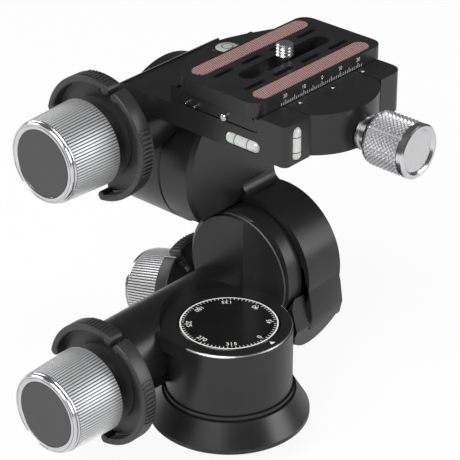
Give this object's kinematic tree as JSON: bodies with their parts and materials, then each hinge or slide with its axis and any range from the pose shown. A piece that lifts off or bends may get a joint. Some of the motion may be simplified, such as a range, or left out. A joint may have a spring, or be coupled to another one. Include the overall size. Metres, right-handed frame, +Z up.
{
  "type": "geared tripod head",
  "caption": "Geared tripod head: three knob-driven worm stages turn a dovetail camera plate about pan, pitch and roll, with quick-release levers and a knurled clamp knob.",
  "frame": {"origin": "middle of the base's underside, at the mouth of the tripod thread", "axes": "+Z up along the pan axis; the pan and roll knobs point along -X, the clamp knob along -Y; pitch turns about X, roll about Y"},
  "size_m": [0.1426, 0.1384, 0.1437],
  "materials": {
    "black_anodised": "satin",
    "knob_silver": "satin",
    "cap_grey": "matte",
    "lever_black": "matte",
    "pad_rubber": "matte",
    "steel": "satin",
    "bronze": "satin",
    "carrier_alloy": "satin",
    "vial_acrylic": "gloss"
  },
  "bodies": {
    "base": {"base_flange": "black_anodised", "base_thread_insert": "steel", "base_screws": "steel", "pan_spindle": "steel", "pan_worm_wheel": "bronze", "pan_dial": "black_anodised"},
    "pan": {"pan_housing": "black_anodised", "pan_end_plate": "black_anodised", "pan_lower_bearing": "bronze", "pan_upper_bearing": "bronze", "pan_pivot_pin": "steel", "pan_release_spring": "steel", "pitch_axle": "steel", "pitch_worm_wheel": "bronze", "pitch_retainer": "steel"},
    "pan_carrier": {"pan_worm_carrier": "carrier_alloy", "pan_worm_bearings": "bronze"},
    "pan_lever": {"pan_release_lever": "lever_black"},
    "pan_drive": {"pan_worm_shaft": "steel", "pan_knob": "knob_silver", "pan_knob_cap": "cap_grey"},
    "arm": {"swing_arm": "black_anodised", "pitch_bearing": "bronze", "pitch_end_plate": "black_anodised", "pitch_pivot_pin": "steel", "pitch_release_spring": "steel", "roll_axle": "steel", "roll_worm_wheel": "bronze", "roll_retainer": "steel"},
    "pitch_carrier": {"pitch_worm_carrier": "carrier_alloy", "pitch_worm_bearings": "bronze"},
    "pitch_lever": {"pitch_release_lever": "lever_black"},
    "pitch_drive": {"pitch_worm_shaft": "steel", "pitch_knob": "knob_silver", "pitch_knob_cap": "cap_grey"},
    "top": {"platform": "black_anodised", "roll_inner_bearing": "bronze", "roll_outer_bearing": "bronze", "roll_end_plate": "black_anodised", "roll_pivot_pin": "steel", "roll_release_spring": "steel", "clamp_guide_pins": "steel", "bubble_level": "vial_acrylic", "front_vial": "vial_acrylic", "side_vial": "vial_acrylic"},
    "roll_carrier": {"roll_worm_carrier": "carrier_alloy", "roll_worm_bearings": "bronze"},
    "roll_lever": {"roll_release_lever": "lever_black"},
    "roll_drive": {"roll_worm_shaft": "steel", "roll_knob": "knob_silver", "roll_knob_cap": "cap_grey"},
    "jaw": {"clamp_jaw": "black_anodised", "clamp_washer": "steel"},
    "clamp": {"clamp_screw": "steel", "clamp_knob": "knob_silver"},
    "plate": {"plate": "black_anodised", "plate_pads": "pad_rubber"},
    "screw_slide": {"camera_screw_washer": "steel"},
    "camera_screw": {"camera_screw": "steel"}
  },
  "joints": [
    {"name": "pan_turn", "type": "hinge", "parent": "base", "child": "pan", "pos_m": [0, 0, 0.026], "axis": [0, 0, 1], "continuous": true},
    {"name": "pan_release", "type": "hinge", "parent": "pan", "child": "pan_carrier", "pos_m": [0, 0.0164, 0.019], "axis": [-1, 0, 0], "range_deg": [0, 14], "stiffness_Nm_per_rad": 0.5, "springref_deg": -17.19},
    {"name": "pan_lever_turn", "type": "hinge", "parent": "pan_carrier", "child": "pan_lever", "pos_m": [0, 0.02, 0.026], "axis": [-1, 0, 0], "range_deg": [0, 36]},
    {"name": "pan_knob_turn", "type": "hinge", "parent": "pan_carrier", "child": "pan_drive", "pos_m": [0, 0.02, 0.026], "axis": [1, 0, 0], "continuous": true},
    {"name": "pitch_turn", "type": "hinge", "parent": "pan", "child": "arm", "pos_m": [0.0384, 0.016, 0.044], "axis": [1, 0, 0], "range_deg": [-15, 90]},
    {"name": "pitch_release", "type": "hinge", "parent": "arm", "child": "pitch_carrier", "pos_m": [0.0454, 0.01176, 0.02816], "axis": [0, -0.9659, 0.2588], "range_deg": [0, 14], "stiffness_Nm_per_rad": 0.5, "springref_deg": -17.19},
    {"name": "pitch_lever_turn", "type": "hinge", "parent": "pitch_carrier", "child": "pitch_lever", "pos_m": [0.0384, 0.01082, 0.02468], "axis": [0, -0.9659, 0.2588], "range_deg": [0, 36]},
    {"name": "pitch_knob_turn", "type": "hinge", "parent": "pitch_carrier", "child": "pitch_drive", "pos_m": [0.0384, 0.01082, 0.02468], "axis": [0, -0.9659, 0.2588], "range_deg": [-3620, 620]},
    {"name": "roll_turn", "type": "hinge", "parent": "arm", "child": "top", "pos_m": [0.0325, 0.045, 0.086], "axis": [0, 1, 0], "range_deg": [-15, 90]},
    {"name": "roll_release", "type": "hinge", "parent": "top", "child": "roll_carrier", "pos_m": [0.0325, 0.038, 0.1024], "axis": [1, 0, 0], "range_deg": [0, 14], "stiffness_Nm_per_rad": 0.5, "springref_deg": -17.19},
    {"name": "roll_lever_turn", "type": "hinge", "parent": "roll_carrier", "child": "roll_lever", "pos_m": [0.0325, 0.045, 0.106], "axis": [1, 0, 0], "range_deg": [0, 36]},
    {"name": "roll_knob_turn", "type": "hinge", "parent": "roll_carrier", "child": "roll_drive", "pos_m": [0.0325, 0.045, 0.106], "axis": [1, 0, 0], "range_deg": [-620, 3620]},
    {"name": "jaw_slide", "type": "slide", "parent": "top", "child": "jaw", "axis": [0, -1, 0], "range_m": [0, 0.006]},
    {"name": "clamp_knob_turn", "type": "hinge", "parent": "jaw", "child": "clamp", "pos_m": [0.0325, -0.03, 0.1152], "axis": [0, -1, 0], "range_deg": [-10, 2170]},
    {"name": "plate_slide", "type": "slide", "parent": "top", "child": "plate", "axis": [1, 0, 0], "range_m": [-0.01, 0.01]},
    {"name": "camera_screw_slide", "type": "slide", "parent": "plate", "child": "screw_slide", "axis": [1, 0, 0], "range_m": [-0.018, 0.018]},
    {"name": "camera_screw_turn", "type": "hinge", "parent": "screw_slide", "child": "camera_screw", "pos_m": [0.0348, 0.0046, 0.13], "axis": [0, 0, 1], "continuous": true}
  ],
  "couplings": [
    {"joint": "pan_knob_turn", "follows": "pan_turn", "ratio": -40},
    {"joint": "pitch_knob_turn", "follows": "pitch_turn", "ratio": -40},
    {"joint": "roll_knob_turn", "follows": "roll_turn", "ratio": 40},
    {"joint": "pan_lever_turn", "follows": "pan_release", "ratio": 2.5},
    {"joint": "pitch_lever_turn", "follows": "pitch_release", "ratio": 2.5},
    {"joint": "roll_lever_turn", "follows": "roll_release", "ratio": 2.5},
    {"joint": "clamp_knob_turn", "follows": "jaw_slide", "rad_per_m": 6283.2}
  ]
}
